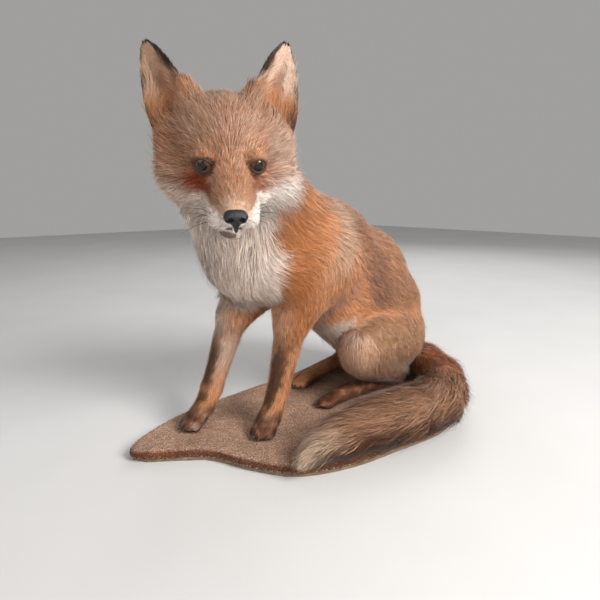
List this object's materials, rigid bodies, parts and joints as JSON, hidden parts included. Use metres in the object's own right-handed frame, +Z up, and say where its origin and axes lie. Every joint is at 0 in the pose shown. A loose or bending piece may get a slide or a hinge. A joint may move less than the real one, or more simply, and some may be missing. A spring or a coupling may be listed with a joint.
{
  "type": "taxidermy red fox on a sand-covered base",
  "caption": "Sitting red fox mounted as taxidermy, head turned to its left and tail curled forward, on an irregular sand-covered board.",
  "frame": {"origin": "on the underside of the base board, below the middle of the fox's body", "axes": "+Z up, -Y the way the fox's body faces, +X to the fox's left"},
  "size_m": [0.3203, 0.522, 0.4806],
  "materials": {
    "board_wood": "plain board edge, unfinished",
    "sand": "glued beige-grey sand with lighter coarse grains",
    "fur_rufous": "tanned hide with orange-red fox fur",
    "fur_tan": "tanned hide with tan and grey-brown fox fur",
    "fur_cream": "tanned hide with cream-white fur",
    "fur_dark": "tanned hide with dark brown fur",
    "nose_pad": "dark, slightly glossy nose leather",
    "glass_eye": "amber-brown glass eye, polished"
  },
  "bodies": {
    "root": {"base_board": "board_wood", "base_sand": "sand", "trunk": "fur_rufous", "neck": "fur_cream", "head": "fur_rufous", "lower_jaw": "fur_cream", "nose": "nose_pad", "eye_left": "glass_eye", "eye_right": "glass_eye", "ear_left": "fur_dark", "ear_right": "fur_dark", "upper_arm_left": "fur_rufous", "forearm_left": "fur_rufous", "forepaw_left": "fur_dark", "upper_arm_right": "fur_rufous", "forearm_right": "fur_rufous", "forepaw_right": "fur_dark", "thigh_left": "fur_tan", "shank_left": "fur_tan", "hind_foot_left": "fur_dark", "thigh_right": "fur_tan", "shank_right": "fur_tan", "hind_foot_right": "fur_dark", "tail_root": "fur_tan", "tail_middle": "fur_tan", "tail_tip": "fur_cream"}
  },
  "joints": []
}
